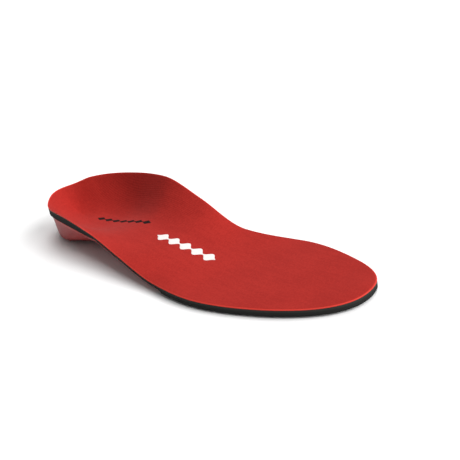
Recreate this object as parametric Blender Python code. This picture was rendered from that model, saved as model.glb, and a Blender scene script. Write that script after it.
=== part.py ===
"""A cushioned orthotic insole for a right foot: a laminate of cover, foam, moulded cap and film.

Design frame, in millimetres: x runs from the heel tip (0) to the toe tip, y points to the
medial (arch) side, z is up from the surface that the insole lies on. The model is then
centred on its box and scaled to metres. Every layer is a loft over one shared grid of
stations along the foot and rings from the centre line to the rim, so layers never cross.
"""

import math

import bmesh
import bpy
import numpy as np
from mathutils import Vector
from mathutils.bvhtree import BVHTree

MM = 0.001

# The rim of the top face: x, y and height at each point that shapes it.
HEEL_TIP = (0.0, 0.0, 29.0)
MEDIAL_RIM = (
    (12, 21, 32.5),
    (42, 35.5, 35),
    (86, 37, 38),
    (125, 36, 27),
    (164, 38, 10.5),
    (204, 49, 6),
    (248, 45, 5.8),
    (278.5, 28, 5.8),
)
TOE_TIP = (281.5, 5.0, 6.0)
LATERAL_RIM = (
    (263.5, -17.5, 5.8),
    (232, -34, 5.8),
    (195, -43.5, 6),
    (160, -42.5, 7),
    (122, -39, 15),
    (85, -35, 23),
    (44, -32.5, 29),
    (14, -22, 27.5),
)

# Height of the top face on the centre line, as (x, height).
SEAT_HEIGHT = (
    (0, 10),
    (40, 10),
    (58, 10.7),
    (100, 15.5),
    (130, 14),
    (152, 11.2),
    (174, 8),
    (195, 6.1),
    (215, 5.6),
    (255, 5.6),
    (282, 6.4),
)
# How sharply the section turns up to the rim, as (x, power).
MEDIAL_POWER = ((0, 3), (45, 2.8), (90, 2.1), (140, 2.4), (180, 4), (280, 4))
LATERAL_POWER = ((0, 3), (45, 3), (90, 2.6), (140, 3), (180, 4), (280, 4))

# The laminate, measured square to the face.
COVER = 0.7
ADHESIVE = 0.2
FOAM = 3.0
CAP = 1.6
FILM = 0.3
GAP = 0.3
CAP_TIP = 1.0
STACK_HEIGHT = 40.0

# Where the cap ends and the film starts on the centre line; both bow forward in the middle.
CAP_END = 176.0
FILM_START = 181.0
CAP_THINS_FROM = 120.0
# Height of the foam's cut edge, as (x of the centre line, height). Beside the cap the lateral
# edge is thin, and it steps up to its full height just short of the end of the cap.
MEDIAL_EDGE = ((31, 4), (70, 3.4), (104, 2.8), (172, 3), (249, 3.2))
LATERAL_EDGE = (
    (31, 4),
    (64, 3.9),
    (80, 3.4),
    (92, 2.6),
    (102, 1.3),
    (172, 1.2),
    (175, 3.2),
    (249, 3.2),
)
# Foam left bare between the rim and the cap or the film, as (x of the centre line, width).
MEDIAL_BAND = ((31, 1), (104, 1.2), (150, 2), (164, 3.5), (CAP_END, 8), (FILM_START, 5), (200, 3.5))
LATERAL_BAND = ((31, 1), (150, 1), (164, 2), (CAP_END, 6), (FILM_START, 5), (200, 3.5))
# How much lower the foam's underside is at the cap's edge than at the rim.
EDGE_DROP = 0.3
# How far a station lies forward of its points on the rim, as (x of their middle, distance).
BOW = ((0, 31), (60, 14), (172, 8), (215, 0), (280, -31))

# The heel of the foam is a block with a flat base, which fills the cup of the cap: the height
# of its base, the ring where its wall starts, and where along the foot it fades out.
CUP_FLOOR = 4.2
CUP_CORNER = 0.85
CUP_END = (45.0, 105.0)
# How much sooner the cup fades out at the lateral rim than on the centre line.
CUP_LEAD = 30.0
# How much further out the cap's wall starts on its outside than on its inside.
WALL_LAG = 0.05
# The ring on the cap's underside that the heel stands on, and how it fades into the cap
# along the foot, as (x, share of the cap's height).
RING_INSIDE = 0.66
RING_FACE = (0.72, 0.8)
RING_LIFT_MEDIAL = ((35, 0), (60, 0.5), (100, 1))
RING_LIFT_LATERAL = ((30, 0), (43, 0.8), (56, 1))
# The cap's underside never comes nearer to the ground than this beside the ring.
CAP_CLEARANCE = 0.1

# The two prints on the cover: a chain of dark lozenges at the heel, and a white one at the arch.
INK = 0.08
DARK_PRINT = {"ends": ((40.5, 1.5), (101.0, 6.0)), "lozenges": 7, "height": 4.6, "neck": 0.8}
WHITE_PRINT = {"ends": ((120.5, -3.7), (174.5, -2.0)), "lozenges": 5, "height": 8.6, "neck": 1.0}
STEPS_PER_LOZENGE = 8

# The grid: stations up to the cap's end, stations from the film's start, and rings.
REAR_STATIONS = 26
FRONT_STATIONS = 15
RINGS = (0, 0.3, 0.56, 0.76, 0.86, None, 1)
CAP_RINGS = (0, 0.3, 0.56, RING_INSIDE, RING_FACE[0], RING_FACE[1], 0.86, 0.9, None)
OUTLINE_SAMPLES = 1200
# The slope is measured over this much of a ring on each side, and counts no steeper than this.
SLOPE_REACH = 0.04
STEEPEST = 1.8

COLOURS = {
    "top_cover": ((0.52, 0.05, 0.04), 0.85),
    "tonal_print": ((0.03, 0.01, 0.01), 0.7),
    "white_print": ((0.85, 0.85, 0.83), 0.6),
    "cover_adhesive": ((0.75, 0.72, 0.6), 0.4),
    "foam_base": ((0.03, 0.03, 0.028), 0.8),
    "cap_adhesive": ((0.75, 0.72, 0.6), 0.4),
    "stabilizer_cap": ((0.6, 0.07, 0.06), 0.45),
    "film_adhesive": ((0.75, 0.72, 0.6), 0.4),
    "reflective_film": ((0.55, 0.52, 0.48), 0.3),
}


def closed_spline(points, count):
    """Points on a smooth closed curve through the given ones, evenly spread over its length."""
    points = np.array(points, float)
    number = len(points)
    steps = np.linalg.norm((np.roll(points, -1, 0) - points)[:, :2], axis=1)
    before = np.roll(steps, 1)
    matrix = np.zeros((number, number))
    for i in range(number):
        matrix[i, i - 1] = steps[i]
        matrix[i, i] = 2 * (steps[i] + before[i])
        matrix[i, (i + 1) % number] = before[i]
    slopes = (np.roll(points, -1, 0) - points) / steps[:, None]
    slopes_before = np.roll(slopes, 1, 0)
    right = 3 * (slopes_before * steps[:, None] + slopes * before[:, None])
    tangents = np.linalg.solve(matrix, right)
    knots = np.concatenate([[0], np.cumsum(steps)])
    where = np.linspace(0, knots[-1], count + 1)[:-1]
    index = np.clip(np.searchsorted(knots, where, "right") - 1, 0, number - 1)
    step = steps[index][:, None]
    t = ((where - knots[index])[:, None]) / step
    start, end = points[index], points[(index + 1) % number]
    leave, arrive = tangents[index] * step, tangents[(index + 1) % number] * step
    curve = (2 * t**3 - 3 * t**2 + 1) * start + (t**3 - 2 * t**2 + t) * leave
    curve += (3 * t**2 - 2 * t**3) * end + (t**3 - t**2) * arrive
    return curve


def along(table, x):
    """The value at x on a smooth curve through the table, with no overshoot."""
    xs, values = np.array(table, float).T
    slopes = np.diff(values) / np.diff(xs)
    tangents = np.zeros(len(xs))
    for i in range(1, len(xs) - 1):
        if slopes[i - 1] * slopes[i] > 0:
            tangents[i] = 2 * slopes[i - 1] * slopes[i] / (slopes[i - 1] + slopes[i])
    x = np.clip(x, xs[0], xs[-1])
    i = np.clip(np.searchsorted(xs, x, "right") - 1, 0, len(xs) - 2)
    step = xs[i + 1] - xs[i]
    t = (x - xs[i]) / step
    value = (2 * t**3 - 3 * t**2 + 1) * values[i] + (t**3 - 2 * t**2 + t) * step * tangents[i]
    return value + (3 * t**2 - 2 * t**3) * values[i + 1] + (t**3 - t**2) * step * tangents[i + 1]


def fade(x, start, end):
    """A smooth step from 0 at the start to 1 at the end."""
    t = np.clip((x - start) / (end - start), 0, 1)
    return t * t * (3 - 2 * t)


class Footbed:
    """The shape of the top face, and the grid that all the layers share."""

    def __init__(self):
        rim = (HEEL_TIP, *MEDIAL_RIM, TOE_TIP, *LATERAL_RIM)
        curve = closed_spline(rim, OUTLINE_SAMPLES)
        heel = int(np.argmin(curve[:, 0]))
        curve = np.roll(curve, -heel, axis=0)
        toe = int(np.argmax(curve[:, 0]))
        self.sides = {
            1: self.by_length(curve[: toe + 1]),
            -1: self.by_length(np.vstack([curve[toe:], curve[:1]])[::-1]),
        }
        heights = {1: (HEEL_TIP, *MEDIAL_RIM, TOE_TIP), -1: (HEEL_TIP, *LATERAL_RIM[::-1], TOE_TIP)}
        self.rim_height = {side: [(x, z) for x, _, z in rows] for side, rows in heights.items()}
        shares = np.linspace(0, 1, OUTLINE_SAMPLES)
        middle = np.array([self.middle_of(share)[0] for share in shares])
        rear = np.interp(CAP_END, middle, shares)
        front = np.interp(FILM_START, middle, shares)
        self.shares = np.concatenate(
            [np.linspace(0, rear, REAR_STATIONS), np.linspace(front, 1, FRONT_STATIONS)]
        )

    @staticmethod
    def by_length(curve):
        lengths = np.linalg.norm(np.diff(curve[:, :2], axis=0), axis=1)
        return np.concatenate([[0], np.cumsum(lengths)]) / lengths.sum(), curve

    def rim(self, side, share):
        """The rim's point on one side, at a share of the way from heel to toe."""
        shares, curve = self.sides[side]
        x = np.interp(share, shares, curve[:, 0])
        y = np.interp(share, shares, curve[:, 1])
        return x, y, along(self.rim_height[side], x)

    def middle_of(self, share):
        """The centre line's point: a station bows forward of its rim at the heel, back at the toe."""
        medial = self.rim(1, share)
        lateral = self.rim(-1, share)
        x = (medial[0] + lateral[0]) / 2
        return x + along(BOW, x), (medial[1] + lateral[1]) / 2

    def half_width(self, side, share):
        x, y, _ = self.rim(side, share)
        middle_x, middle_y = self.middle_of(share)
        return math.hypot(x - middle_x, y - middle_y)

    def edge_ring(self, side, share):
        """The ring on which the cap and the film end."""
        band = along(MEDIAL_BAND if side > 0 else LATERAL_BAND, self.middle_of(share)[0])
        return 1 - band / self.half_width(side, share)

    def top(self, side, share, ring):
        """The point of the top face on a ring, and the height of the face there."""
        x, y, z = self.rim(side, share)
        middle_x, middle_y = self.middle_of(share)
        turn = 1 + math.sin(math.pi * min(max(share, 0), 1))
        at_x = middle_x + (x - middle_x) * ring**turn
        at_y = middle_y + (y - middle_y) * ring
        power = along(MEDIAL_POWER if side > 0 else LATERAL_POWER, x)
        rise = z - along(SEAT_HEIGHT, x)
        return at_x, at_y, along(SEAT_HEIGHT, at_x) + rise * ring**power

    def steepness(self, side, share, ring):
        """How much longer a thickness measures straight down than square to the face."""
        inner, outer = max(ring - SLOPE_REACH, 0), min(ring + SLOPE_REACH, 1)
        a, b = self.top(side, share, inner), self.top(side, share, outer)
        run = math.hypot(b[0] - a[0], b[1] - a[1])
        return min(math.hypot(1, (b[2] - a[2]) / run), STEEPEST)

    @staticmethod
    def cup(side, x, ring):
        """How much a point belongs to the flat-based heel block, from 1 to 0."""
        lead = CUP_LEAD * ring if side < 0 else 0.0
        return 1 - fade(x + lead, *CUP_END)

    def foam_rim(self, side, share):
        """The height of the foam's underside at the rim."""
        edge = along(MEDIAL_EDGE if side > 0 else LATERAL_EDGE, self.middle_of(share)[0])
        steep = self.steepness(side, share, 1)
        return self.rim(side, share)[2] - (COVER + GAP + ADHESIVE + GAP) * steep - edge

    def under_foam(self, side, share, ring, depth=0.0):
        """The height of a face that lies depth below the foam's underside."""
        at_rim = self.foam_rim(side, share)
        if ring == 1:
            return at_rim
        x, _, top = self.top(side, share, ring)
        steep = self.steepness(side, share, ring)
        cup = self.cup(side, x, ring)
        at_edge = at_rim - EDGE_DROP
        edge = self.edge_ring(side, share)
        beside_cap = self.middle_of(share)[0] < (CAP_END + FILM_START) / 2
        if beside_cap and ring >= edge:
            under = at_edge
        else:
            even = top - (COVER + GAP + ADHESIVE + GAP + FOAM) * steep
            block = CUP_FLOOR + (at_edge - CUP_FLOOR) * fade(ring, CUP_CORNER, edge)
            under = even * (1 - cup) + block * cup
        return under - depth * (steep * (1 - cup) + cup)


BED = Footbed()


def layer_height(side, share, ring, depth):
    """The height of a face that lies depth below the top face, measured square to it."""
    return BED.top(side, share, ring)[2] - depth * BED.steepness(side, share, ring)


def cap_underside(side, share, ring):
    """The cap's lower face, with the standing ring pulled down to the ground."""
    x, _, _ = BED.top(side, share, ring)
    thickness = CAP + (CAP_TIP - CAP) * fade(x, CAP_THINS_FROM, CAP_END)
    at_edge = ring >= BED.edge_ring(side, share)
    above = ring if at_edge else max(ring - WALL_LAG * BED.cup(side, x, ring), 0)
    height = BED.under_foam(side, share, above, 2 * GAP + ADHESIVE + thickness)
    height = max(height, CAP_CLEARANCE)
    if RING_FACE[0] <= ring <= RING_FACE[1]:
        return height * along(RING_LIFT_MEDIAL if side > 0 else RING_LIFT_LATERAL, x)
    return height


def below_foam(depth):
    """A face that lies depth below the foam's underside, and never below the ground."""
    return lambda side, share, ring: max(BED.under_foam(side, share, ring, depth), 0.0)


def face_grid(bm, shares, rings, height):
    """One face of a layer: rows of points from the centre line out to both rims."""
    grid = {}
    for row, share in enumerate(shares):
        for place, ring in enumerate(rings):
            for side in (1, -1):
                at = BED.edge_ring(side, share) if ring is None else ring
                x, y, _ = BED.top(side, share, at)
                closed_end = share in (0, 1)
                if side < 0 and (place == 0 or closed_end):
                    grid[row, -place] = grid[row, place]
                    continue
                grid[row, side * place] = bm.verts.new((x, y, height(side, share, at)))
    return grid


def add_face(bm, corners):
    """A face of the given corners, with a corner that is there twice counted once."""
    kept = [c for i, c in enumerate(corners) if c is not corners[i - 1]]
    if len(set(kept)) > 2:
        bm.faces.new(kept)


def skin(bm, grid, shares, places):
    """The faces between a grid's points, split the same way in every layer."""
    for row in range(len(shares) - 1):
        inner, outer = (row, row + 1) if shares[row] < 0.5 else (row + 1, row)
        for place in range(places - 1):
            for side in (1, -1):
                near = grid[inner, side * place]
                far = grid[outer, side * (place + 1)]
                for third in (grid[outer, side * place], grid[inner, side * (place + 1)]):
                    add_face(bm, [near, third, far])


def loft(name, shares, upper, lower, upper_rings=RINGS, lower_rings=None):
    """A closed layer between two faces over the same stations."""
    lower_rings = lower_rings or upper_rings
    bm = bmesh.new()
    rows = len(shares)
    top = face_grid(bm, shares, upper_rings, upper)
    base = face_grid(bm, shares, lower_rings, lower)
    skin(bm, top, shares, len(upper_rings))
    skin(bm, base, shares, len(lower_rings))
    ends = (shares[0] == 0, shares[-1] == 1)
    sides_of(bm, top, base, rows, len(upper_rings), len(lower_rings), ends)
    return finish(name, bm)


def sides_of(bm, top, base, rows, top_places, base_places, ends):
    """The edge of a layer: along both rims, and across an end that isn't closed."""
    upper, lower = top_places - 1, base_places - 1
    for row in range(rows - 1):
        for side in (1, -1):
            add_face(
                bm,
                [
                    top[row, side * upper],
                    top[row + 1, side * upper],
                    base[row + 1, side * lower],
                    base[row, side * lower],
                ],
            )
    for row, closed in ((0, ends[0]), (rows - 1, ends[1])):
        if not closed:
            across_top = [top[row, place] for place in range(-upper, upper + 1)]
            across_base = [base[row, place] for place in range(-lower, lower + 1)]
            bm.faces.new(across_top + across_base[::-1])


def finish(name, bm):
    """The object of a mesh in the design frame, moved to the part's frame, in metres."""
    bmesh.ops.triangulate(bm, faces=[face for face in bm.faces if len(face.verts) > 4])
    bmesh.ops.recalc_face_normals(bm, faces=bm.faces)
    if bm.calc_volume(signed=True) < 0:
        bmesh.ops.reverse_faces(bm, faces=bm.faces)
    for vertex in bm.verts:
        vertex.co = (vertex.co - CENTRE) * MM
    mesh = bpy.data.meshes.new(name)
    bm.to_mesh(mesh)
    bm.free()
    mesh.shade_smooth()
    mesh.set_sharp_from_angle(angle=math.radians(40))
    mesh.materials.append(material(name))
    item = bpy.data.objects.new(name, mesh)
    PARTS.objects.link(item)
    return item


def material(name):
    """The plain material of a piece."""
    colour, roughness = COLOURS[name]
    made = bpy.data.materials.new(name)
    made.use_nodes = True
    shader = made.node_tree.nodes["Principled BSDF"]
    shader.inputs["Base Color"].default_value = (*colour, 1)
    shader.inputs["Roughness"].default_value = roughness
    shader.inputs["Metallic"].default_value = 0.8 if name == "reflective_film" else 0.0
    return made


def height_above(tree, x, y):
    """The height of a piece's top face above a point of the ground, in millimetres."""
    start = (Vector((x, y, 2 * STACK_HEIGHT)) - CENTRE) * MM
    hit = tree.ray_cast(start, Vector((0, 0, -1)))[0]
    return hit.z / MM


def print_on_cover(name, cover, ends, lozenges, height, neck):
    """A chain of lozenges printed in one piece, a gap above the cover."""
    tree = BVHTree.FromPolygons(
        [vertex.co for vertex in cover.data.vertices], [face.vertices for face in cover.data.polygons]
    )
    start, end = np.array(ends)
    run = (end - start) / np.linalg.norm(end - start)
    across = np.array([-run[1], run[0]])
    bm = bmesh.new()
    rows = []
    for i in range(lozenges * STEPS_PER_LOZENGE + 1):
        share = i / (lozenges * STEPS_PER_LOZENGE)
        swell = math.sin(math.pi * lozenges * share) ** 2
        half = (neck + (height - neck) * swell) / 2
        row = []
        for side in (-1, 1):
            at = start + (end - start) * share + across * side * half
            z = height_above(tree, *at) + GAP
            row += [bm.verts.new((*at, z)), bm.verts.new((*at, z + INK))]
        rows.append(row)
    for a, b in zip(rows, rows[1:]):
        for i, j in ((0, 1), (1, 3), (3, 2), (2, 0)):
            bm.faces.new((a[i], a[j], b[j], b[i]))
    for row in (rows[0], rows[-1]):
        bm.faces.new((row[0], row[1], row[3], row[2]))
    return finish(name, bm)


def build():
    """All the pieces, from the foot down, and the prints on the cover."""
    whole = BED.shares
    rear, front = whole[:REAR_STATIONS], whole[REAR_STATIONS:]
    edge_rings = RINGS[:-1]

    def at(depth):
        return lambda side, share, ring: layer_height(side, share, ring, depth)

    adhesive_top = COVER + GAP
    foam_top = adhesive_top + ADHESIVE + GAP
    cover = loft("top_cover", whole, at(0), at(COVER))
    loft("cover_adhesive", whole, at(adhesive_top), at(adhesive_top + ADHESIVE))
    loft("foam_base", whole, at(foam_top), BED.under_foam)
    loft("cap_adhesive", rear, below_foam(GAP), below_foam(GAP + ADHESIVE), edge_rings)
    loft(
        "stabilizer_cap",
        rear,
        below_foam(2 * GAP + ADHESIVE),
        cap_underside,
        edge_rings,
        CAP_RINGS,
    )
    loft("film_adhesive", front, below_foam(GAP), below_foam(GAP + ADHESIVE), edge_rings)
    loft(
        "reflective_film",
        front,
        below_foam(2 * GAP + ADHESIVE),
        below_foam(2 * GAP + ADHESIVE + FILM),
        edge_rings,
    )
    print_on_cover("tonal_print", cover, **DARK_PRINT)
    print_on_cover("white_print", cover, **WHITE_PRINT)


def box_centre():
    """The middle of the outline's box, on the ground."""
    points = [BED.rim(side, share)[:2] for side in (1, -1) for share in BED.shares]
    low, high = np.min(points, axis=0), np.max(points, axis=0)
    return (*((low + high) / 2), 0.0)


def clear_scene():
    """Nothing is left in the scene but what this file makes."""
    for item in list(bpy.data.objects):
        bpy.data.objects.remove(item, do_unlink=True)


clear_scene()
PARTS = bpy.data.collections.new("cushioned_insole")
bpy.context.scene.collection.children.link(PARTS)
CENTRE = Vector(box_centre())
build()
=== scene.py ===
"""The looks of the cushioned insole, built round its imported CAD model.

Lengths in the tables are millimetres in the design frame: x from the heel tip to the toe,
y to the medial side, z up from the floor. The pieces are built there and then moved to the
row frame, which has its origin in the middle of the outline.

A place on the insole is a side (1 medial, -1 lateral), a share of that side's rim (0 at the
heel tip, 1 at the toe) and a ring (0 on the centre line, 1 at the rim).
"""

import math

import bmesh
import bpy
import numpy as np
from mathutils import Matrix, Vector
from mathutils.bvhtree import BVHTree


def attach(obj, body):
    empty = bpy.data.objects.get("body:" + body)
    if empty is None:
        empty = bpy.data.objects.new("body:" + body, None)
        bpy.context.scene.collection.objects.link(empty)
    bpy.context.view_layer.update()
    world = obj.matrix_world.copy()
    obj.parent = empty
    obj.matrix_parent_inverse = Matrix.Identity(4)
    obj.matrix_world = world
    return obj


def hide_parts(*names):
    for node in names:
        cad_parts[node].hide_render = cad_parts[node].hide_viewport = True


MM = 0.001
DOWN = Vector((0, 0, -1))

# The rim of the top face, as in the CAD model: x, y and height at each point that shapes it.
# The points come from a fit to the insole's outline in the photo, rounded.
HEEL_TIP = (0.0, 0.0, 29.0)
MEDIAL_RIM = (
    (12, 21, 32.5),
    (42, 35.5, 35),
    (86, 37, 38),
    (125, 36, 27),
    (164, 38, 10.5),
    (204, 49, 6),
    (248, 45, 5.8),
    (278.5, 28, 5.8),
)
TOE_TIP = (281.5, 5.0, 6.0)
LATERAL_RIM = (
    (263.5, -17.5, 5.8),
    (232, -34, 5.8),
    (195, -43.5, 6),
    (160, -42.5, 7),
    (122, -39, 15),
    (85, -35, 23),
    (44, -32.5, 29),
    (14, -22, 27.5),
)

# By x: the height of the centre line, how sharply each side turns up towards its rim, and how
# far the centre line's points are moved along the foot, so that the rows fan out at its ends.
SEAT_HEIGHT = (
    (0, 10),
    (40, 10),
    (58, 10.7),
    (100, 15.5),
    (130, 14),
    (152, 11.2),
    (174, 8),
    (195, 6.1),
    (215, 5.6),
    (255, 5.6),
    (282, 6.4),
)
MEDIAL_POWER = ((0, 3), (45, 2.8), (90, 2.1), (140, 2.4), (180, 4), (280, 4))
LATERAL_POWER = ((0, 3), (45, 3), (90, 2.6), (140, 3), (180, 4), (280, 4))
BOW = ((0, 31), (60, 14), (172, 8), (215, 0), (280, -31))

# The laminate, measured square to the top face: depths below it, and thicknesses.
COVER_BOTTOM = 0.74
FOAM_TOP = 0.82
STACK = 1.5  # the depth of the CAD foam's top, from which its underside is reckoned
FOAM = 3.0
BOND = 0.8  # from the CAD foam's underside down to the cap or the film
CAP = 1.6
CAP_TIP = 1.0  # the cap's thickness at its front
FILM = 0.3

# The glue under the cover fills the way from COVER_BOTTOM to FOAM_TOP. The glue on the cap and
# the film starts just above them and soaks into the foam.
COVER_GLUE_INSET = 0.15
GLUE_INSET = 0.2
GLUE_BASE = 0.01
GLUE_REACH = 0.12

# Where the cap ends and the film starts, and by x: the height of the foam's edge, and the width
# of the bare foam outside the cap and the film. Here x is the centre line's.
CAP_END = 176.0
FILM_START = 181.0
MEDIAL_EDGE = ((31, 4), (70, 3.4), (104, 2.8), (172, 3), (249, 3.2))
LATERAL_EDGE = (
    (31, 4),
    (64, 3.9),
    (80, 3.4),
    (92, 2.6),
    (102, 1.3),
    (172, 1.2),
    (175, 3.2),
    (249, 3.2),
)
MEDIAL_BAND = ((31, 1), (104, 1.2), (150, 2), (164, 3.5), (CAP_END, 8), (FILM_START, 5), (200, 3.5))
LATERAL_BAND = ((31, 1), (150, 1), (164, 2), (CAP_END, 6), (FILM_START, 5), (200, 3.5))
EDGE_DROP = 0.3  # how far the bare foam falls from the rim to the cap's edge

# The foam's block in the heel cup, and the cap's wall round it.
CUP_FLOOR = 4.2
CUP_CORNER = 0.85  # the ring from which the block's side rises
CUP_END = (45.0, 105.0)  # where the block fades out along the foot
CUP_LEAD = 30.0  # how much sooner that is at the lateral rim
WALL_LAG = 0.05  # how many rings the cap's outer face stays behind its inner one
WALL_LAG_ENDS = 0.95  # the share of the cap's outer ring from which it catches up

# Under the cap: the ring that it stands on round the heel, which is gone by x where its lift
# is 1, and the panels under the arch, pressed in by their depth or standing out where it is
# below 0. They have a sloping edge, and fade in along the foot.
RING_FACE = (0.72, 0.8)
RING_SLOPE = 0.06
RING_LIFT_MEDIAL = ((35, 0), (60, 0.5), (100, 1))
RING_LIFT_LATERAL = ((30, 0), (43, 0.8), (56, 1))
SHELL_CLEARANCE = 0.1  # the least height of the cap beside the ring
PANELS = (
    {"centre": (124.0, -2.0), "half": (37.0, 25.0), "corner": 15.0, "depth": 0.55},
    {"centre": (117.0, -1.0), "half": (29.0, 13.5), "corner": 7.0, "depth": -0.45},
)
PANEL_EDGE = 1.1
PANEL_FADE = (82.0, 96.0)

# How the edges are finished.
COVER_ROLL = 0.35  # how far the cover's fused edge rolls over
COVER_ROLL_WIDTH = 1.1
FOAM_SEAT = 0.02  # the foam's height above the cap and the film
FOAM_SEAT_BLEND = 0.01  # in rings, from the seat to the bare foam
FOAM_RIM_RISE = 1.2  # the most that the bare foam lies above the seat
CAP_THINS_FROM = 120.0
CAP_RIM_WIDTH = 1.2  # the cap's rounded rim, and the share of its thickness left there
CAP_RIM_LEFT = 0.3
CAP_FRONT_SHARE = 0.004  # its rounded front, as a share of the rim's length
CAP_FRONT_LEFT = 0.4

# The walls round the pieces, from the top: (millimetres outward, share of the way down).
COVER_WALL = ((0.06, 0.2), (0.09, 0.5), (0.06, 0.8))
FOAM_WALL = (
    (-0.05, 0.03),
    (-0.02, 0.1),
    (0.0, 0.25),
    (0.0, 0.5),
    (0.0, 0.7),
    (-0.05, 0.85),
    (-0.15, 0.95),
)
SHELL_WALL = ((0.08, 0.2), (0.12, 0.5), (0.08, 0.8))
FILM_WALL = ((0.03, 0.3), (0.03, 0.7))
GLUE_WALL = ((0.0, 0.5),)

# The prints: chains of lozenges, with their widest and narrowest places.
DARK_PRINT = {"ends": ((40.5, 1.5), (101.0, 6.0)), "lozenges": 7, "height": 4.6, "neck": 0.8}
WHITE_PRINT = {"ends": ((120.5, -3.7), (174.5, -2.0)), "lozenges": 5, "height": 8.6, "neck": 1.0}
INK = 0.12
INK_ROUNDING = 8  # the power that rounds the ink's long edges
LOZENGE_STEPS = 26
PRINT_COLUMNS = 9
ABOVE_COVER = 60.0  # a height from which the cover is looked for

# The sampling.
OUTLINE_SAMPLES = 1600
SLOPE_REACH = 0.04  # in rings, to each side of where a slope is measured
STEEPEST = 1.8  # the most that a slope may stretch a thickness
HEEL_TURN = 0.03  # the rows lie closer before this share, and after the next
TOE_TURN = 0.97
SHARP_DEGREES = 50

# The camera, from a fit to the insoles' outlines in the photo. Its angles are degrees, its lens
# and sensor millimetres, and the clip start metres.
CAMERA_AIM = (136.4, 46.8, 0.0)
CAMERA_DISTANCE = 568.6
CAMERA_AZIMUTH = 49.9
CAMERA_ELEVATION = 23.55
CAMERA_ROLL = -10.32
CAMERA_LENS = 62.64
SENSOR = 36.0
CLIP_START = 0.01

# The studio: soft lamps as (direction towards the lamp, strength), their width in degrees, an
# even fill, and the floor's reach and drop in metres.
LAMPS = (
    ((0.9, 0.1, 0.5), 2.2),
    ((0.6, 0.5, 0.6), 1.5),
    ((0.1, 0.1, 1.0), 0.8),
    ((-0.4, 0.5, 0.8), 1.0),
)
LAMP_ANGLE = 38.0
FILL = 0.25
FLOOR_REACH = 30.0
FLOOR_SQUARES = 8
FLOOR_DROP = 0.0001


def closed_spline(points, count):
    """Points on a smooth closed curve through the given ones, evenly spread over its chords."""
    points = np.array(points, float)
    number = len(points)
    steps = np.linalg.norm((np.roll(points, -1, 0) - points)[:, :2], axis=1)
    before = np.roll(steps, 1)
    matrix = np.zeros((number, number))
    for i in range(number):
        matrix[i, i - 1] = steps[i]
        matrix[i, i] = 2 * (steps[i] + before[i])
        matrix[i, (i + 1) % number] = before[i]
    slopes = (np.roll(points, -1, 0) - points) / steps[:, None]
    slopes_before = np.roll(slopes, 1, 0)
    right = 3 * (slopes_before * steps[:, None] + slopes * before[:, None])
    tangents = np.linalg.solve(matrix, right)
    knots = np.concatenate([[0], np.cumsum(steps)])
    where = np.linspace(0, knots[-1], count + 1)[:-1]
    index = np.clip(np.searchsorted(knots, where, "right") - 1, 0, number - 1)
    step = steps[index][:, None]
    t = ((where - knots[index])[:, None]) / step
    start, end = points[index], points[(index + 1) % number]
    leave, arrive = tangents[index] * step, tangents[(index + 1) % number] * step
    curve = (2 * t**3 - 3 * t**2 + 1) * start + (t**3 - 2 * t**2 + t) * leave
    curve += (3 * t**2 - 2 * t**3) * end + (t**3 - t**2) * arrive
    return curve


def along(table, x):
    """The values at x on a smooth curve through the table, with no overshoot."""
    xs, values = np.array(table, float).T
    slopes = np.diff(values) / np.diff(xs)
    tangents = np.zeros(len(xs))
    for i in range(1, len(xs) - 1):
        if slopes[i - 1] * slopes[i] > 0:
            tangents[i] = 2 * slopes[i - 1] * slopes[i] / (slopes[i - 1] + slopes[i])
    x = np.clip(x, xs[0], xs[-1])
    i = np.clip(np.searchsorted(xs, x, "right") - 1, 0, len(xs) - 2)
    step = xs[i + 1] - xs[i]
    t = (x - xs[i]) / step
    value = (2 * t**3 - 3 * t**2 + 1) * values[i] + (t**3 - 2 * t**2 + t) * step * tangents[i]
    return value + (3 * t**2 - 2 * t**3) * values[i + 1] + (t**3 - t**2) * step * tangents[i + 1]


def fade(x, start, end):
    """A smooth step from 0 at the start to 1 at the end."""
    t = np.clip((x - start) / (end - start), 0, 1)
    return t * t * (3 - 2 * t)


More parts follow.
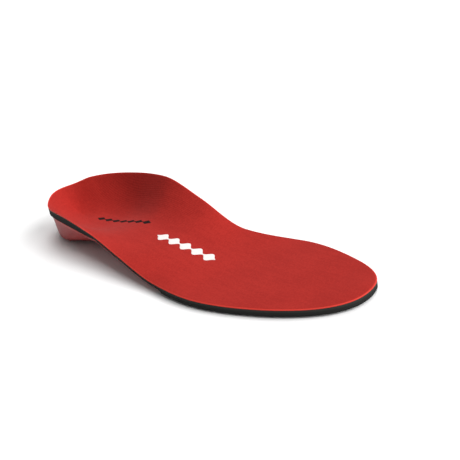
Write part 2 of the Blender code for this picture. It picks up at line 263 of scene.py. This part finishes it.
class Footbed:
    """The shape of the top face over a grid of stations along the foot and rings across it."""

    def __init__(self):
        curve = closed_spline((HEEL_TIP, *MEDIAL_RIM, TOE_TIP, *LATERAL_RIM), OUTLINE_SAMPLES)
        curve = np.roll(curve, -int(np.argmin(curve[:, 0])), axis=0)
        toe = int(np.argmax(curve[:, 0]))
        self.sides = {
            1: self.by_length(curve[: toe + 1]),
            -1: self.by_length(np.vstack([curve[toe:], curve[:1]])[::-1]),
        }
        heights = {1: (HEEL_TIP, *MEDIAL_RIM, TOE_TIP), -1: (HEEL_TIP, *LATERAL_RIM[::-1], TOE_TIP)}
        self.rim_height = {side: [(x, z) for x, _, z in rows] for side, rows in heights.items()}
        low, high = curve[:, :2].min(0), curve[:, :2].max(0)
        self.centre = np.array((*((low + high) / 2), 0.0))

    @staticmethod
    def by_length(curve):
        """A side's rim, with each point's share of its length."""
        lengths = np.linalg.norm(np.diff(curve[:, :2], axis=0), axis=1)
        return np.concatenate([[0], np.cumsum(lengths)]) / lengths.sum(), curve

    def rim(self, side, share):
        """The rim's points: x, y and height."""
        shares, curve = self.sides[side]
        x = np.interp(share, shares, curve[:, 0])
        y = np.interp(share, shares, curve[:, 1])
        return x, y, along(self.rim_height[side], x)

    def middle(self, share):
        """The centre line's points: x and y."""
        medial = self.rim(1, share)
        lateral = self.rim(-1, share)
        x = (medial[0] + lateral[0]) / 2
        return x + along(BOW, x), (medial[1] + lateral[1]) / 2

    def share_at(self, x):
        """The share whose centre line point is at x."""
        shares = np.linspace(0, 1, OUTLINE_SAMPLES)
        return float(np.interp(x, self.middle(shares)[0], shares))

    def half_width(self, side, share):
        """The way from the centre line to the rim."""
        x, y, _ = self.rim(side, share)
        middle_x, middle_y = self.middle(share)
        return np.hypot(x - middle_x, y - middle_y)

    def edge_ring(self, side, share):
        """The ring on which the cap and the film end."""
        band = along(MEDIAL_BAND if side > 0 else LATERAL_BAND, self.middle(share)[0])
        return 1 - band / self.half_width(side, share)

    def top(self, side, share, ring):
        """The points of the top face: x, y and height.

        The rows fan out straight at the heel and the toe. Between them they leave the centre
        line square to the foot, and bend towards their places on the rim.
        """
        x, y, z = self.rim(side, share)
        middle_x, middle_y = self.middle(share)
        bend = 1 + np.sin(math.pi * np.clip(share, 0, 1))
        at_x = middle_x + (x - middle_x) * ring**bend
        at_y = middle_y + (y - middle_y) * ring
        power = along(MEDIAL_POWER if side > 0 else LATERAL_POWER, x)
        rise = z - along(SEAT_HEIGHT, x)
        return at_x, at_y, along(SEAT_HEIGHT, at_x) + rise * ring**power

    def steepness(self, side, share, ring):
        """How much longer a thickness measures straight down than square to the face."""
        inner, outer = np.maximum(ring - SLOPE_REACH, 0), np.minimum(ring + SLOPE_REACH, 1)
        a, b = self.top(side, share, inner), self.top(side, share, outer)
        run = np.hypot(b[0] - a[0], b[1] - a[1])
        return np.minimum(np.hypot(1, (b[2] - a[2]) / run), STEEPEST)

    def below(self, side, share, ring, depth):
        """The height of a face that lies depth below the top face."""
        return self.top(side, share, ring)[2] - depth * self.steepness(side, share, ring)

    @staticmethod
    def cup(side, x, ring):
        """How much a point belongs to the flat-based heel block, from 1 to 0."""
        lead = CUP_LEAD * ring if side < 0 else 0.0
        return 1 - fade(x + lead, *CUP_END)

    def foam_edge(self, side, share):
        """The height of the foam's underside at the rim."""
        edge = along(MEDIAL_EDGE if side > 0 else LATERAL_EDGE, self.middle(share)[0])
        return self.below(side, share, 1.0, STACK) - edge

    def under_foam(self, side, share, ring, depth):
        """The height of a face that lies depth below the foam's underside."""
        ring = ring + 0 * share
        x, _, top = self.top(side, share, ring)
        steep = self.steepness(side, share, ring)
        cup = self.cup(side, x, ring)
        edge = self.edge_ring(side, share)
        at_edge = self.foam_edge(side, share) - EDGE_DROP
        beside_cap = 1 - fade(self.middle(share)[0], CAP_END, FILM_START)
        pull = fade(ring, CUP_CORNER, edge) * beside_cap
        even = (top - (STACK + FOAM) * steep) * (1 - pull) + at_edge * pull
        block = CUP_FLOOR + (at_edge - CUP_FLOOR) * fade(ring, CUP_CORNER, edge)
        under = even * (1 - cup) + block * cup
        return under - depth * (steep * (1 - cup) + cup)


BED = Footbed()
CENTRE = BED.centre


def surface(side, share, ring, height):
    """Points of a face that lies right under the top face's points, at the given height."""
    x, y, _ = BED.top(side, share, ring)
    return np.stack(np.broadcast_arrays(x, y, height), axis=-1)


def layer(name, shares, rings, outer, upper, lower, wall, closed=(True, True)):
    """A closed layer between two faces, with a rounded wall round its edge.

    outer gives the ring on which the layer ends, and rings are shares of it. upper and lower give
    the faces' heights, and wall lists (millimetres outward, share of the way down). closed says
    whether the heel end and the toe end are rims, not cuts across the foot. Each point also
    stores its distance from the layer's edge and how far down the wall it is.
    """
    share = np.array(shares)[:, None]
    rows = len(shares)
    points, distances, falls = {}, {}, {}
    for side in (1, -1):
        ring = np.array(rings)[None, :] * outer(side, share)
        top = surface(side, share, ring, upper(side, share, ring))
        base = surface(side, share, ring, lower(side, share, ring))
        out = top[:, -1, :2] - top[:, -3, :2]
        out = out / np.linalg.norm(out, axis=1, keepdims=True)
        edge = []
        for outward, down in wall:
            at = top[:, -1] * (1 - down) + base[:, -1] * down
            at[:, :2] += out * outward
            edge.append(at)
        edge = np.stack(edge, axis=1)
        points[side] = np.concatenate([top, edge, base[:, ::-1]], axis=1)
        near = np.linalg.norm(top - top[:, -1:], axis=2)
        distances[side] = np.concatenate([near, np.zeros((rows, len(wall))), near[:, ::-1]], axis=1)
        down = np.array([0.0] * len(rings) + [d for _, d in wall] + [1.0] * len(rings))
        falls[side] = np.broadcast_to(down, (rows, len(down)))
    return close_layer(name, points, distances, falls, len(rings), closed)


def close_layer(name, points, distances, falls, ring_count, closed):
    """The mesh of a layer's two halves, joined along the centre line and at its closed ends."""
    rows, count = points[1].shape[:2]
    index = {1: np.arange(rows * count).reshape(rows, count)}
    own = np.ones((rows, count), bool)
    own[:, 0] = own[:, -1] = False
    if closed[0]:
        own[0] = False
    if closed[1]:
        own[-1] = False
    other = index[1].copy()
    other[own] = rows * count + np.arange(own.sum())
    index[-1] = other
    where = np.concatenate([points[1].reshape(-1, 3), points[-1][own]])
    distance = np.concatenate([distances[1].reshape(-1), distances[-1][own]])
    fall = np.concatenate([falls[1].reshape(-1), falls[-1][own]])
    faces = []
    for side in (1, -1):
        grid = index[side]
        quads = np.stack([grid[:-1, :-1], grid[1:, :-1], grid[1:, 1:], grid[:-1, 1:]], axis=-1)
        quads = quads.reshape(-1, 4)
        faces += [tuple(q) for q in (quads if side > 0 else quads[:, ::-1])]
    for row, shut in ((0, closed[0]), (rows - 1, closed[1])):
        if shut:
            continue
        for side in (1, -1):
            line = index[side][row]
            for k in range(ring_count - 1):
                quad = (line[k], line[k + 1], line[-2 - k], line[-1 - k])
                faces.append(quad if (side > 0) == (row == 0) else quad[::-1])
            rest = tuple(line[ring_count - 1 : count - ring_count + 1])
            faces.append(rest if (side > 0) == (row == 0) else rest[::-1])
    return make_object(name, where, faces, {"rim_distance": distance, "wall_fall": fall})


def make_object(name, where, faces, attributes=None):
    """An object of a mesh in the design frame, moved to the row frame, in metres."""
    mesh = bpy.data.meshes.new(name)
    mesh.from_pydata(((where - CENTRE) * MM).tolist(), [], [tuple(map(int, f)) for f in faces])
    mesh.validate()
    for key, values in (attributes or {}).items():
        made = mesh.attributes.new(key, "FLOAT", "POINT")
        made.data.foreach_set("value", np.asarray(values, np.float32))
    bm = bmesh.new()
    bm.from_mesh(mesh)
    bmesh.ops.recalc_face_normals(bm, faces=bm.faces)
    if bm.calc_volume(signed=True) < 0:
        bmesh.ops.reverse_faces(bm, faces=bm.faces)
    bm.to_mesh(mesh)
    bm.free()
    mesh.shade_smooth()
    mesh.set_sharp_from_angle(angle=math.radians(SHARP_DEGREES))
    item = bpy.data.objects.new(name, mesh)
    bpy.context.scene.collection.objects.link(item)
    return item


def spread(*parts):
    """Sample places: (start, end, steps) one after another, each shared end kept once."""
    places = [np.linspace(a, b, n, endpoint=False) for a, b, n in parts]
    return np.concatenate([*places, [parts[-1][1]]])


CAP_SHARE = BED.share_at(CAP_END)
FILM_SHARE = BED.share_at(FILM_START)
CAP_FRONT = CAP_SHARE - CAP_FRONT_SHARE
SHARES = spread(
    (0, HEEL_TURN, 14),
    (HEEL_TURN, CAP_SHARE, 150),
    (CAP_SHARE, FILM_SHARE, 8),
    (FILM_SHARE, TOE_TURN, 90),
    (TOE_TURN, 1, 14),
)
REAR_SHARES = spread((0, HEEL_TURN, 14), (HEEL_TURN, CAP_FRONT, 170), (CAP_FRONT, CAP_SHARE, 6))
FRONT_SHARES = spread((FILM_SHARE, TOE_TURN, 90), (TOE_TURN, 1, 14))
COVER_RINGS = spread((0, 0.5, 10), (0.5, 0.9, 22), (0.9, 1, 12))
UNDER_RINGS = spread((0, 0.5, 12), (0.5, 0.9, 60), (0.9, 1, 16))
CLOSED_AT_HEEL = (True, False)
CLOSED_AT_TOE = (False, True)


def whole(side, share):
    """The outer ring of a layer that reaches the rim."""
    return np.ones_like(share)


def inset(outer, distance):
    """The outer ring of a layer that stays a distance inside another one."""
    return lambda side, share: outer(side, share) - distance / BED.half_width(side, share)


def cover_top(side, share, ring):
    """The top face, rounded over along the fused edge."""
    distance = (1 - ring) * BED.half_width(side, share)
    roll = COVER_ROLL * np.clip(1 - distance / COVER_ROLL_WIDTH, 0, 1) ** 2
    return BED.top(side, share, ring)[2] - roll


def cover_bottom(side, share, ring):
    return BED.below(side, share, ring, COVER_BOTTOM)


def foam_top(side, share, ring):
    return BED.below(side, share, ring, FOAM_TOP)


def foam_bottom(side, share, ring):
    """The foam's underside: the seat of the cap and the film, and bare foam out to the rim."""
    inner = BED.under_foam(side, share, ring, BOND) + FOAM_SEAT
    edge = BED.edge_ring(side, share)
    beside_cap = 1 - fade(BED.middle(share)[0], CAP_END, FILM_START)
    bare = fade(ring, edge - FOAM_SEAT_BLEND, edge + FOAM_SEAT_BLEND)
    way_out = (1 - ring) / np.maximum(1 - edge, 1e-3)
    outside = BED.foam_edge(side, share) - EDGE_DROP * way_out * beside_cap
    return inner * (1 - bare) + np.minimum(outside, inner + FOAM_RIM_RISE) * bare


def cap_top(side, share, ring):
    """The top of the cap, and of the film."""
    return BED.under_foam(side, share, ring, BOND)


def glue_top(side, share, ring):
    return cap_top(side, share, ring) + GLUE_REACH


def glue_bottom(side, share, ring):
    return cap_top(side, share, ring) + GLUE_BASE


def panel_relief(x, y):
    """How far the cap's underside is pushed up by the panels under the arch."""
    total = np.zeros_like(x)
    for panel in PANELS:
        offset_x = np.abs(x - panel["centre"][0]) - panel["half"][0] + panel["corner"]
        offset_y = np.abs(y - panel["centre"][1]) - panel["half"][1] + panel["corner"]
        outside = np.hypot(np.maximum(offset_x, 0), np.maximum(offset_y, 0))
        distance = outside + np.minimum(np.maximum(offset_x, offset_y), 0) - panel["corner"]
        total += panel["depth"] * (1 - fade(distance, -PANEL_EDGE, 0))
    return total * fade(x, *PANEL_FADE)


def rounded(distance, width, left):
    """A round edge: the share of the thickness that is left, from the edge inwards."""
    return np.sqrt(1 - np.clip(1 - distance / width, 0, 1) ** 2) * (1 - left) + left


def cap_bottom(side, share, ring):
    """The cap's underside: a shell, the standing ring round the heel and the arch panels."""
    x, y, _ = BED.top(side, share, ring)
    thickness = CAP + (CAP_TIP - CAP) * fade(x, CAP_THINS_FROM, CAP_END)
    edge = BED.edge_ring(side, share)
    distance = (edge - ring) * BED.half_width(side, share)
    lip = rounded(distance, CAP_RIM_WIDTH, CAP_RIM_LEFT)
    front = rounded(CAP_SHARE - share, CAP_FRONT_SHARE, CAP_FRONT_LEFT)
    lag = WALL_LAG * BED.cup(side, x, ring) * (1 - fade(ring / edge, WALL_LAG_ENDS, 1))
    above = np.maximum(ring - lag, 0)
    shell = BED.under_foam(side, share, above, BOND + thickness * lip * front)
    shell = np.maximum(shell + panel_relief(x, y), SHELL_CLEARANCE)
    lift = along(RING_LIFT_MEDIAL if side > 0 else RING_LIFT_LATERAL, x)
    rise = fade(ring, RING_FACE[0] - RING_SLOPE, RING_FACE[0])
    fall = 1 - fade(ring, RING_FACE[1], RING_FACE[1] + RING_SLOPE)
    return shell * (1 - rise * fall * (1 - lift))


def film_bottom(side, share, ring):
    return np.maximum(BED.under_foam(side, share, ring, BOND + FILM), 0.0)


def print_on(cover, name, ends, lozenges, height, neck):
    """A chain of lozenges of ink that follows the cover, from pairs of points on it and in it."""
    mesh = cover.data
    tree = BVHTree.FromPolygons([v.co for v in mesh.vertices], [f.vertices for f in mesh.polygons])
    start, end = np.array(ends)
    run = (end - start) / np.linalg.norm(end - start)
    across = np.array([-run[1], run[0]])
    steps = lozenges * LOZENGE_STEPS
    where, faces = [], []
    for i in range(steps + 1):
        share = i / steps
        swell = math.sin(math.pi * lozenges * share) ** 2
        half = (neck + (height - neck) * swell) / 2
        for j in range(PRINT_COLUMNS):
            v = 2 * j / (PRINT_COLUMNS - 1) - 1
            at = start + (end - start) * share + across * v * half
            origin = (Vector((*at, ABOVE_COVER)) - Vector(CENTRE)) * MM
            z = tree.ray_cast(origin, DOWN)[0].z / MM
            where.append((*at, z + INK * (1 - v**INK_ROUNDING)))
            where.append((*at, z - INK))
    for i in range(steps):
        for j in range(PRINT_COLUMNS - 1):
            a, b = 2 * (i * PRINT_COLUMNS + j), 2 * ((i + 1) * PRINT_COLUMNS + j)
            faces.append((a, b, b + 2, a + 2))
            faces.append((a + 1, a + 3, b + 3, b + 1))
        for j in (0, PRINT_COLUMNS - 1):
            a, b = 2 * (i * PRINT_COLUMNS + j), 2 * ((i + 1) * PRINT_COLUMNS + j)
            faces.append((a, a + 1, b + 1, b))
    for i in (0, steps):
        for j in range(PRINT_COLUMNS - 1):
            a = 2 * (i * PRINT_COLUMNS + j)
            faces.append((a, a + 2, a + 3, a + 1))
    return make_object(name, np.array(where), faces)


class Nodes:
    """A material's node tree, with short ways to add to it."""

    def __init__(self, name):
        self.material = bpy.data.materials.new(name)
        self.material.use_nodes = True
        self.tree = self.material.node_tree
        self.shader = self.tree.nodes["Principled BSDF"]
        self.place = self.add("ShaderNodeTexCoord").outputs["Object"]

    def add(self, kind, inputs=None, **settings):
        """A new node with its settings, and with values or links on its inputs."""
        node = self.tree.nodes.new(kind)
        for key, value in settings.items():
            setattr(node, key, value)
        for key, value in (inputs or {}).items():
            self.set(node.inputs[key], value)
        return node

    def set(self, socket, value):
        """Links the value to the socket, or sets it there if it is plain."""
        if isinstance(value, bpy.types.NodeSocket):
            self.tree.links.new(value, socket)
        else:
            socket.default_value = value

    def math(self, operation, a, b):
        """One sum or product of two values."""
        node = self.add("ShaderNodeMath", operation=operation)
        self.set(node.inputs[0], a)
        self.set(node.inputs[1], b)
        return node.outputs[0]

    def total(self, *terms):
        """The sum of (value, weight) terms."""
        scaled = [self.math("MULTIPLY", value, weight) for value, weight in terms]
        result = scaled[0]
        for term in scaled[1:]:
            result = self.math("ADD", result, term)
        return result

    def noise(self, scale, detail=3.0, roughness=0.5, place=None):
        """Noise from 0 to 1, with about as many lumps to a metre as its scale."""
        inputs = {"Vector": place or self.place, "Scale": scale, "Detail": detail}
        inputs["Roughness"] = roughness
        return self.add("ShaderNodeTexNoise", inputs).outputs["Fac"]

    def cells(self, scale):
        """The distance from the middle of the nearest of many round cells."""
        inputs = {"Vector": self.place, "Scale": scale}
        return self.add("ShaderNodeTexVoronoi", inputs, feature="F1").outputs["Distance"]

    def mapped(self, factors=(1, 1, 1), turn=0.0):
        """The place, stretched by factors and turned about the upright axis."""
        inputs = {"Vector": self.place, "Scale": factors, "Rotation": (0, 0, turn)}
        return self.add("ShaderNodeMapping", inputs).outputs["Vector"]

    def wave(self, pitch, place, direction="X", distortion=0.0):
        """A sine wave from 0 to 1 with the given pitch in metres."""
        inputs = {"Vector": place, "Scale": math.pi / (10 * pitch), "Distortion": distortion}
        inputs["Detail"] = 0.0
        node = self.add("ShaderNodeTexWave", inputs, bands_direction=direction)
        return node.outputs["Fac"]

    def ramp(self, value, low, high, start, end):
        """The value from low to high mapped to start to end, smoothly."""
        node = self.add("ShaderNodeMapRange", interpolation_type="SMOOTHSTEP")
        for socket, given in zip(node.inputs, (value, low, high, start, end)):
            self.set(socket, given)
        return node.outputs["Result"]

    def mix(self, factor, a, b):
        """The colour between a, at factor 0, and b, at factor 1."""
        node = self.add("ShaderNodeMix", data_type="RGBA")
        self.set(node.inputs[0], factor)
        self.set(node.inputs[6], a)
        self.set(node.inputs[7], b)
        return node.outputs[2]

    def attribute(self, name):
        """The value that a mesh's points store under the name."""
        return self.add("ShaderNodeAttribute", attribute_name=name).outputs["Fac"]

    def finish(self, colour, roughness, height, strength, distance, **sockets):
        """Wires the surface: colour, roughness, a bump of the height, and the plain sockets."""
        self.set(self.shader.inputs["Base Color"], colour)
        self.set(self.shader.inputs["Roughness"], roughness)
        inputs = {"Height": height, "Strength": strength, "Distance": distance}
        bump = self.add("ShaderNodeBump", inputs)
        self.set(self.shader.inputs["Normal"], bump.outputs["Normal"])
        for key, value in sockets.items():
            self.shader.inputs[key.replace("_", " ")].default_value = value
        return self.material


def rgb(red, green, blue):
    """A linear colour, as a socket takes it."""
    return (red, green, blue, 1.0)


def knit(nodes):
    """The relief of a fine warp knit: ribs along the foot with stitches across them."""
    ribs = nodes.wave(pitch=0.0011, place=nodes.place, direction="Y", distortion=0.6)
    stitches = nodes.wave(pitch=0.0008, place=nodes.mapped(turn=math.radians(32)))
    fuzz = nodes.noise(2600, 2.0)
    return nodes.total((ribs, 0.32), (stitches, 0.26), (fuzz, 0.5))


def fabric_material():
    """A red knit, slightly mottled, with painted shade between its yarns and a painted highlight
    along its fused edge, where the cloth is also smoother.
    """
    nodes = Nodes("knitted cover")
    deep, light = rgb(0.32, 0.0175, 0.0132), rgb(0.385, 0.0235, 0.0175)
    # The dark red for the knit's hollows is painted shade.
    shade_between_yarns = rgb(0.16, 0.008, 0.008)
    # The bright red along the fused edge is a painted highlight.
    painted_edge_highlight = rgb(0.54, 0.040, 0.028)
    relief = knit(nodes)
    blotch = nodes.noise(38, 4.0, 0.6)
    streak = nodes.noise(240, 3.0, 0.6, nodes.mapped((0.25, 1.6, 1)))
    grain = nodes.noise(850, 2.0, 0.6)
    shade = nodes.total((blotch, 0.25), (streak, 0.25), (grain, 0.5))
    base = nodes.mix(nodes.ramp(shade, 0.38, 0.62, 0.0, 1.0), deep, light)
    yarn = nodes.ramp(relief, 0.25, 0.85, 0.0, 1.0)
    # Painted shade: where the knit's relief is low, between the yarns, the colour is darkened.
    cloth = nodes.mix(yarn, nodes.mix(0.24, base, shade_between_yarns), base)
    # The band along the rim: a painted highlight in its colour, and smoother cloth.
    fused = nodes.ramp(nodes.attribute("rim_distance"), 0.3, 0.9, 1.0, 0.0)
    colour = nodes.mix(fused, cloth, painted_edge_highlight)
    roughness = nodes.ramp(fused, 0.0, 1.0, 0.92, 0.5)
    return nodes.finish(
        colour,
        roughness,
        relief,
        strength=0.35,
        distance=0.0002,
        Sheen_Weight=0.05,
        Sheen_Roughness=0.4,
        Specular_IOR_Level=0.06,
    )


def foam_material():
    """Black foam with fine cells, and a painted highlight along the top of its cut edge."""
    nodes = Nodes("closed cell foam")
    black, grey = rgb(0.007, 0.0074, 0.007), rgb(0.018, 0.0185, 0.017)
    # Two greys of a painted highlight for the top of the cut edge, mixed at random.
    dim_top_highlight, bright_top_highlight = rgb(0.028, 0.0295, 0.026), rgb(0.05, 0.052, 0.046)
    cells = nodes.cells(1500)
    fine = nodes.noise(900, 4.0, 0.65)
    patchy = nodes.noise(120, 3.0)
    base = nodes.mix(fine, black, grey)
    pale = nodes.mix(patchy, dim_top_highlight, bright_top_highlight)
    # Painted highlight: the upper part of the cut edge is paler, as if lit from above.
    upper = nodes.ramp(nodes.attribute("wall_fall"), 0.1, 0.55, 0.5, 0.0)
    colour = nodes.mix(upper, base, pale)
    relief = nodes.total((cells, 0.6), (fine, 0.5))
    roughness = nodes.ramp(fine, 0, 1, 0.78, 0.95)
    return nodes.finish(
        colour, roughness, relief, strength=0.45, distance=0.0002, Specular_IOR_Level=0.15
    )


def cap_material():
    """Red moulded plastic with faint flow marks and a paler edge."""
    nodes = Nodes("moulded cap")
    deep, light = rgb(0.25, 0.014, 0.013), rgb(0.31, 0.019, 0.018)
    pale_edge = rgb(0.42, 0.045, 0.038)
    fine = nodes.noise(1400, 3.0, 0.6)
    flow = nodes.noise(26, 4.0, 0.55, nodes.mapped((0.5, 1.4, 1)))
    base = nodes.mix(flow, deep, light)
    edge = nodes.ramp(nodes.attribute("rim_distance"), 0.2, 1.4, 0.5, 0.0)
    colour = nodes.mix(edge, base, pale_edge)
    roughness = nodes.ramp(fine, 0, 1, 0.36, 0.52)
    return nodes.finish(
        colour,
        roughness,
        fine,
        strength=0.12,
        distance=0.0001,
        Specular_IOR_Level=0.22,
        Coat_Weight=0.02,
    )


def film_material():
    """Cloudy silver film over a fine weave, with a bright border."""
    nodes = Nodes("metallised film")
    dull, bright = rgb(0.44, 0.41, 0.365), rgb(0.56, 0.525, 0.47)
    bright_border = rgb(0.74, 0.72, 0.68)
    warp = nodes.wave(pitch=0.0009, place=nodes.place, direction="X")
    weft = nodes.wave(pitch=0.0009, place=nodes.place, direction="Y")
    weave = nodes.math("MULTIPLY", warp, weft)
    cloud = nodes.noise(30, 4.0, 0.6)
    base = nodes.mix(cloud, dull, bright)
    border = nodes.ramp(nodes.attribute("rim_distance"), 0.5, 1.0, 1.0, 0.0)
    colour = nodes.mix(border, base, bright_border)
    roughness = nodes.ramp(cloud, 0, 1, 0.42, 0.56)
    return nodes.finish(colour, roughness, weave, strength=0.12, distance=0.0001, Metallic=0.6)


def ink_material(name, dark, light, roughness):
    """Ink over the knit, uneven where the yarns stand up."""
    nodes = Nodes(name)
    relief = knit(nodes)
    patchy = nodes.noise(700, 4.0, 0.7)
    uneven = nodes.math("MULTIPLY", patchy, nodes.ramp(relief, 0.2, 0.9, 0.6, 1.0))
    colour = nodes.mix(uneven, dark, light)
    rough = nodes.ramp(patchy, 0, 1, roughness, roughness + 0.2)
    return nodes.finish(
        colour, rough, relief, strength=0.3, distance=0.0002, Specular_IOR_Level=0.12
    )


def glue_material():
    """Cloudy set glue, reddened by what it holds."""
    nodes = Nodes("adhesive")
    cloud = nodes.noise(300, 3.0)
    colour = nodes.mix(cloud, rgb(0.30, 0.05, 0.04), rgb(0.42, 0.07, 0.05))
    roughness = nodes.ramp(cloud, 0, 1, 0.35, 0.6)
    return nodes.finish(colour, roughness, cloud, strength=0.2, distance=0.0001)


def floor_material():
    """Matt and almost white."""
    nodes = Nodes("pale floor")
    cloud = nodes.noise(4, 2.0)
    colour = nodes.mix(cloud, rgb(0.90, 0.90, 0.90), rgb(0.92, 0.92, 0.92))
    return nodes.finish(
        colour, 0.9, cloud, strength=0.01, distance=0.0001, Specular_IOR_Level=0.1
    )


def knitted_cover():
    """The fabric, over the whole length."""
    return layer("knitted_cover", SHARES, COVER_RINGS, whole, cover_top, cover_bottom, COVER_WALL)


def cover_glue_line():
    """The glue between the fabric and the foam."""
    outer = inset(whole, COVER_GLUE_INSET)
    return layer("cover_glue_line", SHARES, COVER_RINGS, outer, cover_bottom, foam_top, GLUE_WALL)


def foam_body():
    """The foam, over the whole length, with its block in the heel cup."""
    return layer("foam_body", SHARES, UNDER_RINGS, whole, foam_top, foam_bottom, FOAM_WALL)


def lower_glue_line(name, shares, closed):
    """The glue between the foam and what is bonded under it."""
    outer = inset(BED.edge_ring, GLUE_INSET)
    return layer(name, shares, UNDER_RINGS, outer, glue_top, glue_bottom, GLUE_WALL, closed)


def moulded_shell():
    """The cap under the heel and the arch."""
    faces = BED.edge_ring, cap_top, cap_bottom
    return layer("moulded_shell", REAR_SHARES, UNDER_RINGS, *faces, SHELL_WALL, CLOSED_AT_HEEL)


def forefoot_film():
    """The film under the forefoot."""
    faces = BED.edge_ring, cap_top, film_bottom
    return layer("forefoot_film", FRONT_SHARES, UNDER_RINGS, *faces, FILM_WALL, CLOSED_AT_TOE)


def build_pieces():
    """Every visible piece, by the CAD node it stands for."""
    cover = knitted_cover()
    return {
        "top_cover": cover,
        "cover_adhesive": cover_glue_line(),
        "foam_base": foam_body(),
        "cap_adhesive": lower_glue_line("cap_glue_line", REAR_SHARES, CLOSED_AT_HEEL),
        "stabilizer_cap": moulded_shell(),
        "film_adhesive": lower_glue_line("film_glue_line", FRONT_SHARES, CLOSED_AT_TOE),
        "reflective_film": forefoot_film(),
        "tonal_print": print_on(cover, "dark_lozenges", **DARK_PRINT),
        "white_print": print_on(cover, "white_lozenges", **WHITE_PRINT),
    }


def dress(pieces):
    """Each piece gets its material, rides on the row's one body and stands for its node."""
    glue = glue_material()
    dark_ink = rgb(0.010, 0.003, 0.003), rgb(0.024, 0.006, 0.006)
    white_ink = rgb(0.62, 0.56, 0.54), rgb(0.86, 0.85, 0.83)
    materials = {
        "top_cover": fabric_material(),
        "foam_base": foam_material(),
        "stabilizer_cap": cap_material(),
        "reflective_film": film_material(),
        "cover_adhesive": glue,
        "cap_adhesive": glue,
        "film_adhesive": glue,
        "tonal_print": ink_material("dark ink", *dark_ink, 0.7),
        "white_print": ink_material("white ink", *white_ink, 0.55),
    }
    for node, piece in pieces.items():
        piece.data.materials.append(materials[node])
        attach(piece, "root")
        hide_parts(node)


def make_floor():
    """A wide pale floor, just under the insole."""
    mesh = bpy.data.meshes.new("floor")
    bm = bmesh.new()
    bmesh.ops.create_grid(
        bm, x_segments=FLOOR_SQUARES, y_segments=FLOOR_SQUARES, size=FLOOR_REACH
    )
    bm.to_mesh(mesh)
    bm.free()
    floor = bpy.data.objects.new("floor", mesh)
    bpy.context.scene.collection.objects.link(floor)
    floor.location.z = -FLOOR_DROP
    floor.data.materials.append(floor_material())


def make_camera():
    """The photo's camera: its angle, roll and lens."""
    azimuth = math.radians(CAMERA_AZIMUTH)
    elevation = math.radians(CAMERA_ELEVATION)
    roll = math.radians(CAMERA_ROLL)
    back = Vector(
        (
            math.sin(azimuth) * math.cos(elevation),
            -math.cos(azimuth) * math.cos(elevation),
            math.sin(elevation),
        )
    )
    level = Vector((math.cos(azimuth), math.sin(azimuth), 0))
    upright = back.cross(level)
    right = level * math.cos(roll) + upright * math.sin(roll)
    up = upright * math.cos(roll) - level * math.sin(roll)
    place = (Vector(CAMERA_AIM) + back * CAMERA_DISTANCE - Vector(CENTRE)) * MM
    camera = bpy.data.objects.new("camera", bpy.data.cameras.new("camera"))
    bpy.context.scene.collection.objects.link(camera)
    camera.data.lens = CAMERA_LENS
    camera.data.sensor_width = SENSOR
    camera.data.clip_start = CLIP_START
    camera.matrix_world = Matrix.Translation(place) @ Matrix((right, up, back)).transposed().to_4x4()
    bpy.context.scene.camera = camera


def make_light():
    """Broad soft lamps from the toe, from above and from the medial side, and an even fill."""
    for direction, strength in LAMPS:
        light = bpy.data.lights.new("lamp", "SUN")
        light.energy = strength
        light.angle = math.radians(LAMP_ANGLE)
        lamp = bpy.data.objects.new("lamp", light)
        bpy.context.scene.collection.objects.link(lamp)
        lamp.rotation_euler = Vector(direction).to_track_quat("Z", "Y").to_euler()
    world = bpy.data.worlds.new("studio")
    world.use_nodes = True
    background = world.node_tree.nodes["Background"]
    background.inputs["Color"].default_value = (1.0, 1.0, 1.0, 1.0)
    background.inputs["Strength"].default_value = FILL
    bpy.context.scene.world = world
    bpy.context.scene.view_settings.view_transform = "Standard"


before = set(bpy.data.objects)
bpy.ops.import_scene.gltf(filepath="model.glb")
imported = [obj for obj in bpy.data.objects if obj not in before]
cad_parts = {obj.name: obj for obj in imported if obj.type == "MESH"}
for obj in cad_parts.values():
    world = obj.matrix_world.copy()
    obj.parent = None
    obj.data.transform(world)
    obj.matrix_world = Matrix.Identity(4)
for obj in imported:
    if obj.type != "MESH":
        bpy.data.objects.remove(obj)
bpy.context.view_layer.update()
PIECES = build_pieces()
dress(PIECES)
make_floor()
make_camera()
make_light()
